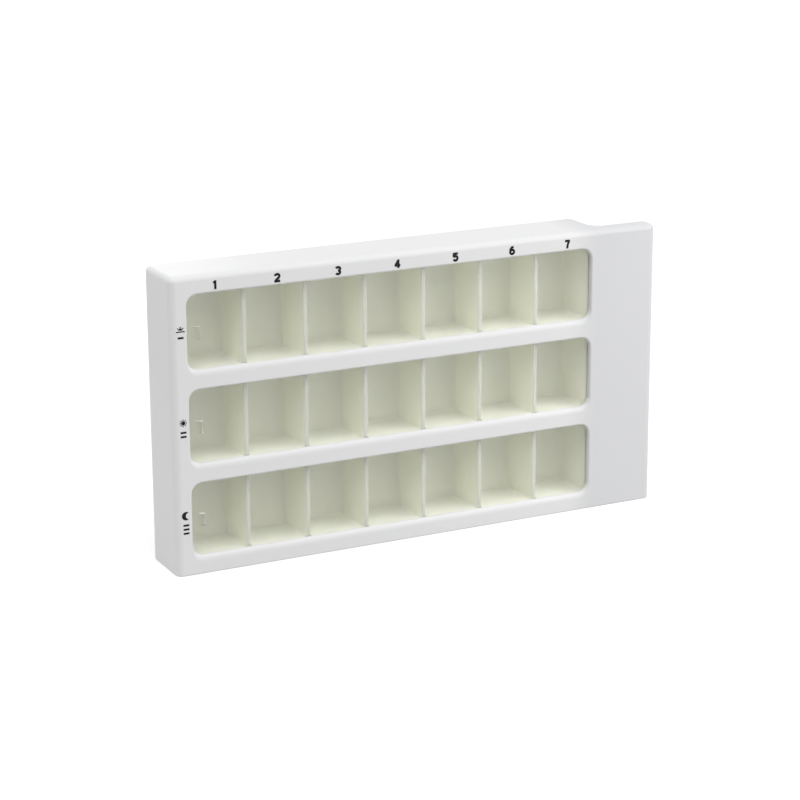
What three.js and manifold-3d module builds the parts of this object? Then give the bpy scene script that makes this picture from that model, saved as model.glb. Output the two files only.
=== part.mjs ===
// Weekly pill box: seven days across, three times of day down, standing on its long lower edge.
// Millimetres. +X runs along the rows to the grip, -Y is the open front, +Z is up.
// The origin is the middle of the footprint, at the level of the surface it stands on.

import * as THREE from 'three';
import { mergeVertices } from 'three/addons/utils/BufferGeometryUtils.js';
import Module from 'manifold-3d';

const wasm = await Module();
wasm.setup();

// Cells and windows
const cellCount = 7;
const rowCount = 3;
const cellPitch = 25;
const dividerWall = 2;
const windowHeight = 28.6;
const windowLap = 0.35;
const windowRadius = 4.2;
const windowEdgeRound = 1.5;

// Front face bars and the grip at the right
const rowBar = 7.6;
const edgeBar = 7.2;
const leftMargin = 6.8;
const rightMargin = 6.4;
const gripLength = 23.5;

// Depths and outer rounding of the housing
const bodyDepth = 27;
const gripDepth = 9;
const frontPlate = 1.8;
const housingWall = 2.2;
const edgeRound = 2.2;
const baseRound = 0.5;
const frontCornerRadius = 2.8;
const rearCornerRadius = 4;
const shoulderRadius = 3.2;
const sweepRadius = 4;

// Clearances, how deep a rib is rooted in its wall, and how far a cut runs past what it cuts
const slideGap = 0.3;
const fitGap = 0.3;
const rootDepth = 0.3;
const cutOverrun = 5;

// Sliding lids
const lidThickness = 0.8;
const lidOverlap = 2.7;
const lidCornerRadius = 1.2;
const lidEndRecess = 0.6;
const nibInset = 2.5;
const nibWidth = 3.2;
const nibHeight = 5.4;
const nibRecess = 0.5;
const nibRadius = 0.6;

// Cell trays
const trayWall = 1.2;
const cellCornerRadius = 1;
const cellFloorRound = 0.8;
const trayFlange = 1.6;
const trayFlangeThickness = 1.2;

// Ribs inside the housing
const partitionWall = 1.6;
const partitionSetback = 3.6;
const lugLength = 1.5;
const lugReach = 2;

// Rear cover
const coverWall = 2;
const padDepth = 1.6;
const padWidth = 14;
const padHeight = 6;
const backingRib = 1.6;
const hookCount = 3;
const hookWidth = 8;
const hookArm = 1.2;
const hookReach = 6;
const hookBarb = 0.8;
const hookBarbLength = 2;
const tongueReach = 1;
const tongueThickness = 1;
const tongueSetback = 1.2;

// Curve fineness, in steps for each quarter turn
const outerSteps = 5;
const windowSteps = 6;
const cellSteps = 3;
const smallSteps = 3;

// Overall sizes and places that follow
const cellsWidth = cellCount * cellPitch - dividerWall;
const cellWidth = cellPitch - dividerWall;
const cellHeight = windowHeight + 2 * windowLap;
const windowWidth = cellsWidth - 2 * windowLap;
const width = leftMargin + windowWidth + rightMargin + gripLength;
const height = 2 * edgeBar + rowCount * windowHeight + (rowCount - 1) * rowBar;
const rowPitch = windowHeight + rowBar;

const left = -width / 2;
const right = width / 2;
const front = -bodyDepth / 2;
const back = bodyDepth / 2;
const gripBack = front + gripDepth;
const windowLeft = left + leftMargin;
const windowRight = windowLeft + windowWidth;
const windowMiddle = (windowLeft + windowRight) / 2;
const bodyRight = windowRight + rightMargin;

const insideLeft = left + housingWall;
const insideRight = right - housingWall;
const insideBottom = housingWall;
const insideTop = height - housingWall;
const plateBack = front + frontPlate;
const lidFront = plateBack + slideGap;
const lidBack = lidFront + lidThickness;
const trayFront = lidBack + slideGap;
const flangeBack = trayFront + trayFlangeThickness;
const coverInside = back - coverWall;
const trayBack = coverInside - padDepth;
const cellBack = trayBack - trayWall;
const gripInside = gripBack - coverWall;

const rowMiddle = (row) => height - edgeBar - windowHeight / 2 - row * rowPitch;
const cellMiddle = (cell) => windowMiddle + (cell - (cellCount - 1) / 2) * cellPitch;

// Half heights from a row's middle: the channel between the ribs, the lid, the tray's body and its flange
const channelHalf = (rowPitch - partitionWall) / 2;
const lidHalf = Math.min(windowHeight / 2 + lidOverlap, channelHalf - slideGap);
const trayHalf = cellHeight / 2 + trayWall;
const flangeHalf = Math.min(trayHalf + trayFlange, channelHalf - fitGap);

// Ends of the lids, trays and rear cover
const lidLeft = insideLeft + slideGap;
const lidRight = right - lidEndRecess;
const nibLeft = windowLeft + nibInset;
const trayLeft = windowLeft - windowLap - trayWall;
const trayRight = windowRight + windowLap + trayWall;
const flangeLeft = Math.max(trayLeft - trayFlange, insideLeft + fitGap);
const flangeRight = trayRight + trayFlange;
const coverLeft = insideLeft + fitGap;
const coverRight = insideRight - fitGap;
const coverBottom = insideBottom + fitGap;
const coverTop = insideTop - fitGap;

// Solids from geometry and back again

function toSolid(geometry) {
  const bare = geometry.index ? geometry.toNonIndexed() : geometry.clone();
  bare.deleteAttribute('normal');
  bare.deleteAttribute('uv');
  const merged = mergeVertices(bare);
  const mesh = new wasm.Mesh({
    numProp: 3,
    vertProperties: new Float32Array(merged.attributes.position.array),
    triVerts: new Uint32Array(merged.index.array),
  });
  return new wasm.Manifold(mesh);
}

function toMesh(solid, name, material) {
  const data = solid.getMesh();
  const geometry = new THREE.BufferGeometry();
  geometry.setAttribute('position', new THREE.BufferAttribute(new Float32Array(data.vertProperties), 3));
  geometry.setIndex(new THREE.BufferAttribute(new Uint32Array(data.triVerts), 1));
  geometry.computeVertexNormals();
  const mesh = new THREE.Mesh(geometry, material);
  mesh.name = name;
  return mesh;
}

function block(x0, x1, y0, y1, z0, z1) {
  const geometry = new THREE.BoxGeometry(x1 - x0, y1 - y0, z1 - z0);
  geometry.translate((x0 + x1) / 2, (y0 + y1) / 2, (z0 + z1) / 2);
  return toSolid(geometry);
}

// The points of an arc about (x, z), from one angle in quarter turns to the next
function arcPoints(x, z, radius, fromQuarter, toQuarter, steps) {
  const points = [];
  for (let step = 0; step <= steps; step += 1) {
    const angle = (fromQuarter + (toQuarter - fromQuarter) * (step / steps)) * (Math.PI / 2);
    points.push(new THREE.Vector2(x + radius * Math.cos(angle), z + radius * Math.sin(angle)));
  }
  return points;
}

// A rectangle seen from the front, its corner radii given round from the lower left
function roundedRectangle(x0, x1, z0, z1, radii, steps) {
  const [a, b, c, d] = radii;
  return [
    ...arcPoints(x0 + a, z0 + a, a, 2, 3, steps),
    ...arcPoints(x1 - b, z0 + b, b, 3, 4, steps),
    ...arcPoints(x1 - c, z1 - c, c, 0, 1, steps),
    ...arcPoints(x0 + d, z1 - d, d, 1, 2, steps),
  ];
}

const evenRadii = (radius) => [radius, radius, radius, radius];

// An outline seen from the front, run through the depth from y0 to y1
function frontPrism(outline, y0, y1, endRound = 0) {
  const geometry = new THREE.ExtrudeGeometry(new THREE.Shape(outline), {
    depth: y1 - y0 - 2 * endRound,
    bevelEnabled: endRound > 0,
    bevelThickness: endRound,
    bevelSize: endRound,
    bevelOffset: -endRound,
    bevelSegments: smallSteps,
  });
  geometry.rotateX(Math.PI / 2);
  geometry.translate(0, y1 - endRound, 0);
  return toSolid(geometry);
}

// An outline seen from above, run up from z0 to z1
function planPrism(outline, z0, z1, endRound = 0) {
  const geometry = new THREE.ExtrudeGeometry(new THREE.Shape(outline), {
    depth: z1 - z0 - 2 * endRound,
    bevelEnabled: endRound > 0,
    bevelThickness: endRound,
    bevelSize: endRound,
    bevelOffset: -endRound,
    bevelSegments: outerSteps,
  });
  geometry.translate(0, 0, z0 + endRound);
  return toSolid(geometry);
}

// A shape seen from the side, its first coordinate the depth and its second the height, run from x0 to x1
function sidePrism(points, x0, x1) {
  const shape = new THREE.Shape(points.map(([y, z]) => new THREE.Vector2(y, z)));
  const geometry = new THREE.ExtrudeGeometry(shape, { depth: x1 - x0, bevelEnabled: false });
  const turn = new THREE.Matrix4().makeBasis(
    new THREE.Vector3(0, 1, 0),
    new THREE.Vector3(0, 0, 1),
    new THREE.Vector3(1, 0, 0),
  );
  geometry.applyMatrix4(turn);
  geometry.translate(x0, 0, 0);
  return toSolid(geometry);
}

// A closed skin through outlines that all have as many points, each at its own depth, nearest first
function skinThrough(outlines, depths) {
  const count = outlines[0].length;
  const positions = [];
  outlines.forEach((outline, k) => outline.forEach((point) => positions.push(point.x, depths[k], point.y)));
  const index = [];
  for (let k = 0; k + 1 < outlines.length; k += 1) {
    for (let i = 0; i < count; i += 1) {
      const a = k * count + i;
      const b = k * count + ((i + 1) % count);
      index.push(a, b + count, b);
      index.push(a, a + count, b + count);
    }
  }
  const last = (outlines.length - 1) * count;
  for (const [a, b, c] of THREE.ShapeUtils.triangulateShape(outlines[0], [])) {
    index.push(a, b, c);
    index.push(last + a, last + c, last + b);
  }
  const geometry = new THREE.BufferGeometry();
  geometry.setAttribute('position', new THREE.BufferAttribute(new Float32Array(positions), 3));
  geometry.setIndex(index);
  return toSolid(geometry);
}

// What a window takes out of the front plate: a rounded opening whose front edge is rolled over
function windowCutter(middle) {
  const outlines = [];
  const depths = [];
  const addOutline = (grow, depth) => {
    const half = windowHeight / 2 + grow;
    outlines.push(roundedRectangle(
      windowLeft - grow, windowRight + grow, middle - half, middle + half,
      evenRadii(windowRadius + grow), windowSteps,
    ));
    depths.push(depth);
  };
  addOutline(windowEdgeRound, front - cutOverrun);
  for (let step = 0; step <= windowSteps; step += 1) {
    const turn = (step / windowSteps) * (Math.PI / 2);
    addOutline(windowEdgeRound * (1 - Math.sin(turn)), front + windowEdgeRound * (1 - Math.cos(turn)));
  }
  addOutline(0, plateBack + slideGap);
  return skinThrough(outlines, depths);
}

// The housing's outline from above: a deep body, a rounded shoulder and a sweep down to a thin grip
function planOutline() {
  const corner = frontCornerRadius;
  return [
    ...arcPoints(left + corner, front + corner, corner, 2, 3, outerSteps),
    ...arcPoints(right - corner, front + corner, corner, 3, 4, outerSteps),
    ...arcPoints(right - corner, gripBack - corner, corner, 0, 1, outerSteps),
    ...arcPoints(bodyRight + sweepRadius, gripBack + sweepRadius, sweepRadius, 3, 2, outerSteps),
    ...arcPoints(bodyRight - shoulderRadius, back - shoulderRadius, shoulderRadius, 0, 1, outerSteps),
    ...arcPoints(left + rearCornerRadius, back - rearCornerRadius, rearCornerRadius, 1, 2, outerSteps),
  ];
}

// Snap hooks of the rear cover, evenly along the body: an arm just inside the wall, and its barb
const hookSpacing = (bodyRight - coverWall - insideLeft) / hookCount;
const hookMiddle = (n) => insideLeft + hookSpacing / 2 + n * hookSpacing;
const hookTip = coverInside - hookReach;
const barbBack = hookTip + hookBarbLength;
const barbRise = fitGap + hookBarb;

function hookSection(atTop) {
  const up = atTop ? 1 : -1;
  const outer = atTop ? coverTop : coverBottom;
  const inner = outer - up * hookArm;
  return [
    [coverInside + rootDepth, inner],
    [hookTip, inner],
    [hookTip, outer],
    [barbBack - barbRise, outer + up * barbRise],
    [barbBack, outer + up * barbRise],
    [barbBack, outer],
    [coverInside + rootDepth, outer],
  ];
}

// The pocket in the housing wall that a hook's barb sits in
function hookPocket(middle, atTop) {
  const half = hookWidth / 2 + fitGap;
  const depth = hookBarb + fitGap;
  const z0 = atTop ? insideTop - cutOverrun : insideBottom - depth;
  const z1 = atTop ? insideTop + depth : insideBottom + cutOverrun;
  return block(middle - half, middle + half, hookTip - fitGap, barbBack + fitGap, z0, z1);
}

// Groove in the grip's end wall and the cover's tongue that slips into it
const tongueBack = gripBack - tongueSetback;
const tongueFront = tongueBack - tongueThickness;
const tongueInset = housingWall + edgeRound;

// Housing: front plate with three windows, walls all round, ribs between the rows and channels for the lids

function housing() {
  // Well rounded at the top, but the base that it stands on has a much smaller rounding
  const base = planPrism(planOutline(), 0, edgeBar, baseRound);
  const outer = planPrism(planOutline(), 0, height, edgeRound).add(base);
  const hollow = block(insideLeft, insideRight, plateBack, back + cutOverrun, insideBottom, insideTop);
  let solid = outer.subtract(hollow);

  // What stands in the hollow is rooted in the end walls and the front plate
  const rootLeft = insideLeft - rootDepth;
  const rootRight = insideRight + rootDepth;
  const rootFront = plateBack - rootDepth;

  // Partitions between the rows, deep behind the windows and shallow inside the grip
  const partitionRight = bodyRight - partitionSetback;
  for (let row = 0; row + 1 < rowCount; row += 1) {
    const middle = rowMiddle(row) - rowPitch / 2;
    const z0 = middle - partitionWall / 2;
    const z1 = middle + partitionWall / 2;
    const deep = block(rootLeft, partitionRight, rootFront, coverInside - fitGap, z0, z1);
    const shallow = block(windowRight, rootRight, rootFront, gripInside - fitGap, z0, z1);
    solid = solid.add(deep).add(shallow);
  }

  // Rails that guide the outer edges of the top and bottom lids
  const railBack = flangeBack + fitGap;
  const topRail = rowMiddle(0) + channelHalf;
  const bottomRail = rowMiddle(rowCount - 1) - channelHalf;
  solid = solid.add(block(rootLeft, rootRight, rootFront, railBack, topRail, insideTop + rootDepth));
  solid = solid.add(block(rootLeft, rootRight, rootFront, railBack, insideBottom - rootDepth, bottomRail));

  // Lugs that hold each tray endways, standing on the ribs behind the lid channels
  const lugLeft = flangeLeft - fitGap;
  const lugRight = flangeRight + fitGap;
  for (let row = 0; row < rowCount; row += 1) {
    const middle = rowMiddle(row);
    for (const side of [-1, 1]) {
      const tip = middle + side * (channelHalf - lugReach);
      const root = middle + side * (channelHalf + rootDepth);
      const z0 = Math.min(tip, root);
      const z1 = Math.max(tip, root);
      solid = solid.add(block(rootLeft, lugLeft, trayFront, railBack, z0, z1));
      solid = solid.add(block(lugRight, lugRight + lugLength, trayFront, railBack, z0, z1));
    }
  }

  // Windows, and the slots in the grip's end wall that let the lids out
  for (let row = 0; row < rowCount; row += 1) {
    const middle = rowMiddle(row);
    solid = solid.subtract(windowCutter(middle));
    solid = solid.subtract(block(
      insideRight - cutOverrun, right + cutOverrun, plateBack, trayFront,
      middle - channelHalf, middle + channelHalf,
    ));
  }

  for (let n = 0; n < hookCount; n += 1) {
    solid = solid.subtract(hookPocket(hookMiddle(n), true));
    solid = solid.subtract(hookPocket(hookMiddle(n), false));
  }
  return solid.subtract(block(
    insideRight - rootDepth, insideRight + tongueReach, tongueFront - fitGap, tongueBack + fitGap,
    tongueInset - fitGap, height - tongueInset + fitGap,
  ));
}

// Tray: seven cells in a row behind one lid, with a flange round the mouth

function tray(row) {
  const middle = rowMiddle(row);
  const shell = frontPrism(
    roundedRectangle(
      trayLeft, trayRight, middle - trayHalf, middle + trayHalf,
      evenRadii(windowRadius + trayWall), cellSteps,
    ),
    trayFront, trayBack,
  );
  const flange = frontPrism(
    roundedRectangle(
      flangeLeft, flangeRight, middle - flangeHalf, middle + flangeHalf,
      evenRadii(lidCornerRadius), smallSteps,
    ),
    trayFront, flangeBack,
  );
  let solid = shell.add(flange);
  const cellZ0 = middle - cellHeight / 2;
  const cellZ1 = middle + cellHeight / 2;
  for (let cell = 0; cell < cellCount; cell += 1) {
    const cellX0 = cellMiddle(cell) - cellWidth / 2;
    const leftRadius = cell === 0 ? windowRadius : cellCornerRadius;
    const rightRadius = cell === cellCount - 1 ? windowRadius : cellCornerRadius;
    const mouth = roundedRectangle(
      cellX0, cellX0 + cellWidth, cellZ0, cellZ1,
      [leftRadius, rightRadius, rightRadius, leftRadius], cellSteps,
    );
    solid = solid.subtract(frontPrism(mouth, trayFront - cutOverrun, cellBack, cellFloorRound));
  }
  return solid;
}

// Lid: a clear sheet that slides out through the grip, with a nib for the finger at its far end

function lid(row) {
  const middle = rowMiddle(row);
  const sheet = frontPrism(
    roundedRectangle(
      lidLeft, lidRight, middle - lidHalf, middle + lidHalf,
      evenRadii(lidCornerRadius), smallSteps,
    ),
    lidFront, lidBack,
  );
  const nib = frontPrism(
    roundedRectangle(
      nibLeft, nibLeft + nibWidth, middle - nibHeight / 2, middle + nibHeight / 2,
      evenRadii(nibRadius), smallSteps,
    ),
    front + nibRecess, lidFront + rootDepth,
  );
  return sheet.add(nib);
}

// Rear cover: one sheet over the back, round the shoulder and along the grip, snapped between the walls

function coverOutline() {
  const shoulderX = bodyRight - shoulderRadius;
  const shoulderY = back - shoulderRadius;
  const sweepX = bodyRight + sweepRadius;
  const sweepY = gripBack + sweepRadius;
  return [
    new THREE.Vector2(coverLeft, coverInside),
    ...arcPoints(shoulderX, shoulderY, shoulderRadius - coverWall, 1, 0, outerSteps),
    ...arcPoints(sweepX, sweepY, sweepRadius + coverWall, 2, 3, outerSteps),
    new THREE.Vector2(coverRight, gripInside),
    new THREE.Vector2(coverRight, gripBack),
    ...arcPoints(sweepX, sweepY, sweepRadius, 3, 2, outerSteps),
    ...arcPoints(shoulderX, shoulderY, shoulderRadius, 0, 1, outerSteps),
    new THREE.Vector2(coverLeft, back),
  ];
}

function rearCover() {
  let solid = planPrism(coverOutline(), coverBottom, coverTop);

  // Pads that hold the trays forward, three behind each row
  for (let row = 0; row < rowCount; row += 1) {
    const middle = rowMiddle(row);
    for (const cell of [0, (cellCount - 1) / 2, cellCount - 1]) {
      const x = cellMiddle(cell);
      solid = solid.add(block(
        x - padWidth / 2, x + padWidth / 2, trayBack + fitGap, coverInside + rootDepth,
        middle - padHeight / 2, middle + padHeight / 2,
      ));
    }
    // Ribs inside the grip that back the lid as it slides out
    for (const side of [-1, 1]) {
      const z = middle + side * windowHeight / 2;
      solid = solid.add(block(
        bodyRight + sweepRadius, coverRight, lidBack + slideGap, gripInside + rootDepth,
        z - backingRib / 2, z + backingRib / 2,
      ));
    }
  }

  for (let n = 0; n < hookCount; n += 1) {
    const x0 = hookMiddle(n) - hookWidth / 2;
    for (const atTop of [true, false]) {
      solid = solid.add(sidePrism(hookSection(atTop), x0, x0 + hookWidth));
    }
  }
  return solid.add(block(
    coverRight - rootDepth, insideRight + tongueReach - fitGap, tongueFront, tongueBack,
    tongueInset, height - tongueInset,
  ));
}

// Finishes

const whiteShell = new THREE.MeshStandardMaterial({ color: 0xe4e5e7, roughness: 0.38, metalness: 0 });
const whiteBack = new THREE.MeshStandardMaterial({ color: 0xdcddde, roughness: 0.45, metalness: 0 });
const ivoryTray = new THREE.MeshStandardMaterial({ color: 0xe2e1cb, roughness: 0.42, metalness: 0 });
const clearLid = new THREE.MeshStandardMaterial({
  color: 0xf6f9fa, roughness: 0.08, metalness: 0, transparent: true, opacity: 0.3,
});

// The whole box, named from the top row down

const rowNames = ['morning', 'noon', 'evening'];
const pillBox = new THREE.Group();
pillBox.add(toMesh(housing(), 'housing', whiteShell));
pillBox.add(toMesh(rearCover(), 'rear_cover', whiteBack));
rowNames.forEach((name, row) => {
  pillBox.add(toMesh(tray(row), `${name}_tray`, ivoryTray));
  pillBox.add(toMesh(lid(row), `${name}_lid`, clearLid));
});

export default pillBox;
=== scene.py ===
# %% [markdown]
# # A weekly pill box
#
# An upright white box with three long windows. Behind each window an ivory tray has seven cells, one
# for each day, and a clear lid slides to the right through the thin grip to open them in turn. The
# measured model comes in first as a fixed frame. Every piece made here sits where that frame says.

# %% Open the frame
import math

import bmesh
import bpy
from mathutils import Matrix, Vector


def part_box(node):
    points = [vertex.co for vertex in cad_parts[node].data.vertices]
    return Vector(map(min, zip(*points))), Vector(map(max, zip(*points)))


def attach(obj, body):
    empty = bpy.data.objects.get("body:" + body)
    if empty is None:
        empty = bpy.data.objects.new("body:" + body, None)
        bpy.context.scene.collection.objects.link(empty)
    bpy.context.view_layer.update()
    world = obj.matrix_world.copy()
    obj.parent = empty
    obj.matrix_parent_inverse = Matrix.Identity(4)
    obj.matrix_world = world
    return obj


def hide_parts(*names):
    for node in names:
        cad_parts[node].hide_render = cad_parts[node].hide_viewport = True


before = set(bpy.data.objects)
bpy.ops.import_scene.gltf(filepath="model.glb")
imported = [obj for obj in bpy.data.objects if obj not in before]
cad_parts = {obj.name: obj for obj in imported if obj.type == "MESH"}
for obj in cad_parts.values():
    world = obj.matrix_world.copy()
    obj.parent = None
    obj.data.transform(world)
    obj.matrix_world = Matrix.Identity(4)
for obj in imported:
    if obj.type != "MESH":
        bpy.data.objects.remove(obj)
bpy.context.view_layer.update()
print("frame parts:", len(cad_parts))

# %% [markdown]
# ## Sizes
#
# All sizes are in millimetres and become metres where a mesh, a lamp or the camera takes them. The
# large ones are read from the frame, so that a piece follows it. The small ones are the mould's own.
# Those that several pieces share stand here, and the others where they are first needed.

# %% Sizes from the frame
MM = 0.001


def box_mm(node):
    """The lowest and highest corners of a part of the frame, in millimetres."""
    low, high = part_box(node)
    return low / MM, high / MM


housing_low, housing_high = box_mm("housing")
left = housing_low.x
front = housing_low.y
right = housing_high.x
height = housing_high.z
back = box_mm("rear_cover")[1].y

row_names = ["morning", "noon", "evening"]
row_middles = {}
for row_name in row_names:
    tray_low, tray_high = box_mm(row_name + "_tray")
    row_middles[row_name] = (tray_low.z + tray_high.z) / 2
print("row middles:", {name: round(middle, 2) for name, middle in row_middles.items()})

# %% Sizes that pieces share
cell_count = 7
cell_pitch = 25
divider_wall = 2
window_height = 28.6
window_lap = 0.35
left_margin = 6.8
right_margin = 6.4
grip_depth = 9
front_plate = 1.8
housing_wall = 2.2
cover_wall = 2
partition_wall = 1.6
ink_height = 0.05

# Pieces that slide or fit stand run_gap apart. A piece that is joined to another reaches root_depth
# into it, and a cutter that comes out on the far side runs on by overrun.
run_gap = 0.3
root_depth = 0.3
overrun = 5
print("cells:", len(row_names) * cell_count)

# %% Places worked out from them
cells_width = cell_count * cell_pitch - divider_wall
cell_width = cell_pitch - divider_wall
cell_height = window_height + 2 * window_lap
window_left = left + left_margin
window_right = window_left + cells_width - 2 * window_lap
window_middle = (window_left + window_right) / 2
body_right = window_right + right_margin
grip_back = front + grip_depth
inside_left = left + housing_wall
inside_right = right - housing_wall
inside_bottom = housing_wall
inside_top = height - housing_wall
plate_back = front + front_plate
cover_inside = back - cover_wall
grip_inside = grip_back - cover_wall
row_pitch = row_middles["morning"] - row_middles["noon"]
channel_half = (row_pitch - partition_wall) / 2

# The plastic's face lies behind the frame's by the height of the ink, which ends flush with the frame.
face = front + ink_height


def cell_middle(cell):
    """The middle of a column, counted from the left from zero."""
    return window_middle + (cell - (cell_count - 1) / 2) * cell_pitch


print("window from", round(window_left, 2), "to", round(window_right, 2), "mm")

# %% [markdown]
# ## Outlines and skins
#
# Moulded plastic parts are outlines pushed through a depth, with rounded rims. A loft does this: it
# takes rings of points, one behind the other, and joins them into a closed skin. A rim is rounded by
# drawing the last few rings a little smaller along a quarter circle, and a hole is flared by drawing
# them larger.

# %% Outlines
wide_steps = 12
bend_steps = 10
rim_steps = 8
small_steps = 6
corner_steps = 4
tiny_steps = 3


def arc(centre_x, centre_y, radius, start, end, steps):
    """Points on an arc, from one angle to another in quarter turns."""
    points = []
    for step in range(steps + 1):
        angle = (start + (end - start) * step / steps) * math.pi / 2
        points.append((centre_x + radius * math.cos(angle), centre_y + radius * math.sin(angle)))
    return points


def rounded_rectangle(x0, x1, y0, y1, radius, inset=0, steps=wide_steps):
    """A rectangle with rounded corners. An inset draws its corners in, and one below zero widens them."""
    rounding = radius - inset
    return (
        arc(x0 + radius, y0 + radius, rounding, 2, 3, steps)
        + arc(x1 - radius, y0 + radius, rounding, 3, 4, steps)
        + arc(x1 - radius, y1 - radius, rounding, 0, 1, steps)
        + arc(x0 + radius, y1 - radius, rounding, 1, 2, steps)
    )


def rim(start, end, start_round=0, end_round=0, steps=rim_steps):
    """Pairs of inset and depth along a skin. A rounding below zero flares the rim."""
    pairs = []
    if start_round:
        for step in range(steps):
            angle = step / steps * math.pi / 2
            depth = start + abs(start_round) * (1 - math.cos(angle))
            pairs.append((start_round * (1 - math.sin(angle)), depth))
    pairs.append((0, start + abs(start_round)))
    pairs.append((0, end - abs(end_round)))
    if end_round:
        for step in range(1, steps + 1):
            angle = step / steps * math.pi / 2
            depth = end - abs(end_round) * (1 - math.sin(angle))
            pairs.append((end_round * (1 - math.cos(angle)), depth))
    return pairs


# %% Skins
def add_skin(skin, rings):
    """Adds a closed skin through rings that all have as many points, in millimetres."""
    rows = [[skin.verts.new(Vector(point) * MM) for point in ring] for ring in rings]
    for near, far in zip(rows, rows[1:]):
        for i in range(len(near)):
            j = (i + 1) % len(near)
            skin.faces.new((near[i], near[j], far[j], far[i]))
    skin.faces.new(reversed(rows[0]))
    skin.faces.new(rows[-1])


def in_scene(name, data):
    """An object in the scene that shows a mesh, a lamp or a camera."""
    thing = bpy.data.objects.new(name, data)
    bpy.context.scene.collection.objects.link(thing)
    return thing


def new_piece(name, skin):
    """Makes an object of a finished skin."""
    bmesh.ops.recalc_face_normals(skin, faces=skin.faces)
    mesh = bpy.data.meshes.new(name)
    skin.to_mesh(mesh)
    skin.free()
    return in_scene(name, mesh)


def loft(name, rings):
    """An object whose skin goes through rings of points."""
    skin = bmesh.new()
    add_skin(skin, rings)
    return new_piece(name, skin)


def front_skin(name, outline, pairs):
    """An outline seen from the front, pushed through the depth."""
    return loft(name, [[(x, depth, z) for x, z in outline(inset)] for inset, depth in pairs])


def plan_skin(name, outline, pairs):
    """An outline seen from above, pushed up through the height."""
    return loft(name, [[(x, y, level) for x, y in outline(inset)] for inset, level in pairs])


def side_skin(name, outline, pairs):
    """An outline seen from the right, pushed along the rows."""
    return loft(name, [[(along, y, z) for y, z in outline(inset)] for inset, along in pairs])


def block(x0, x1, y0, y1, z0, z1):
    """A plain block, used to cut or to be joined to a moulding."""
    return front_skin("block", lambda inset: [(x0, z0), (x1, z0), (x1, z1), (x0, z1)], [(0, y0), (0, y1)])


# %% [markdown]
# ## Cutting and joining
#
# The mould leaves windows, slots and pockets in the plastic. Boolean modifiers make them: each tool is
# another closed mesh that is taken away or joined. They are worked out once and then dropped, so that
# the finished piece is a plain mesh. Cutting leaves knife edges that no moulding has, so the open ones
# are broken with a narrow bevel. Faces are shaded smooth up to a chosen angle, and weighted normals
# keep the wide flat faces flat right up to their rounded rims.

# %% Shape tools
sharp_angle = 35


def shape(piece, steps):
    """Works out a list of (operation, tool) on a piece and drops the tools."""
    for operation, tool in steps:
        modifier = piece.modifiers.new("shape", "BOOLEAN")
        modifier.operation = operation
        modifier.object = tool
        modifier.solver = "MANIFOLD"
    graph = bpy.context.evaluated_depsgraph_get()
    mesh = bpy.data.meshes.new_from_object(piece.evaluated_get(graph))
    mesh.name = piece.name
    piece.modifiers.clear()
    piece.data = mesh
    for _, tool in steps:
        bpy.data.objects.remove(tool)
    return piece


def cut(tool):
    """A step that takes a tool away."""
    return ("DIFFERENCE", tool)


def join(tool):
    """A step that joins a tool."""
    return ("UNION", tool)


def break_edges(piece, width, chosen):
    """Rounds the outward edges whose two ends are chosen, since a mould never leaves them sharp."""
    skin = bmesh.new()
    skin.from_mesh(piece.data)
    edges = []
    for edge in skin.edges:
        if edge.is_convex and edge.calc_face_angle() > math.radians(sharp_angle):
            if all(chosen(*(corner.co / MM)) for corner in edge.verts):
                edges.append(edge)
    bmesh.ops.bevel(
        skin, geom=edges, offset=width * MM, segments=tiny_steps, profile=0.5, affect="EDGES",
    )
    skin.to_mesh(piece.data)
    skin.free()
    print(piece.name, "edges broken:", len(edges))


def smooth(piece):
    """Shades a piece smooth, apart from its sharp edges."""
    piece.data.shade_smooth()
    piece.data.set_sharp_from_angle(angle=math.radians(sharp_angle))
    weighted = piece.modifiers.new("flat faces", "WEIGHTED_NORMAL")
    weighted.keep_sharp = True
    return piece


# %% [markdown]
# ## The housing
#
# One moulding makes the front plate, the walls and the ribs inside. Seen from above it is deep behind
# the cells, turns a rounded shoulder and sweeps down to the thin grip. It could be put together from
# blocks with bevelled edges. One outline, pushed up with rounded rims and then hollowed from the back,
# keeps the sweep and the rims in step and leaves the thin even walls that a mould fills best.

# %% Housing outline
edge_round = 2.2
base_round = 0.5
front_corner = 2.8
rear_corner = 4
shoulder_radius = 3.2
sweep_radius = 4


def plan_outline(inset):
    """The housing from above, drawn in by an inset."""
    sweep_x = body_right + sweep_radius
    sweep_y = grip_back + sweep_radius
    shoulder_x = body_right - shoulder_radius
    return (
        arc(left + front_corner, face + front_corner, front_corner - inset, 2, 3, bend_steps)
        + arc(right - front_corner, face + front_corner, front_corner - inset, 3, 4, bend_steps)
        + arc(right - front_corner, grip_back - front_corner, front_corner - inset, 0, 1, bend_steps)
        + arc(sweep_x, sweep_y, sweep_radius + inset, 3, 2, wide_steps)
        + arc(shoulder_x, back - shoulder_radius, shoulder_radius - inset, 0, 1, wide_steps)
        + arc(left + rear_corner, back - rear_corner, rear_corner - inset, 1, 2, wide_steps)
    )


housing = plan_skin("front_housing", plan_outline, rim(0, height, base_round, edge_round))
hollow = cut(block(inside_left, inside_right, plate_back, back + overrun, inside_bottom, inside_top))
print("housing:", round(right - left, 1), "by", round(height, 1), "mm")

# %% [markdown]
# ## Ribs inside the housing
#
# Two partitions keep the rows apart. A rail at the top and one at the bottom close the outer channels,
# and small lugs beside the ends of each tray's flange keep it from shifting. In a mould these are plain
# slots in the core, so here they are plain blocks, each rooted a little in the wall that carries it.

# %% Ribs
partition_setback = 3.6
lug_length = 1.5
lug_reach = 2
flange_thickness = 1.2

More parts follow.
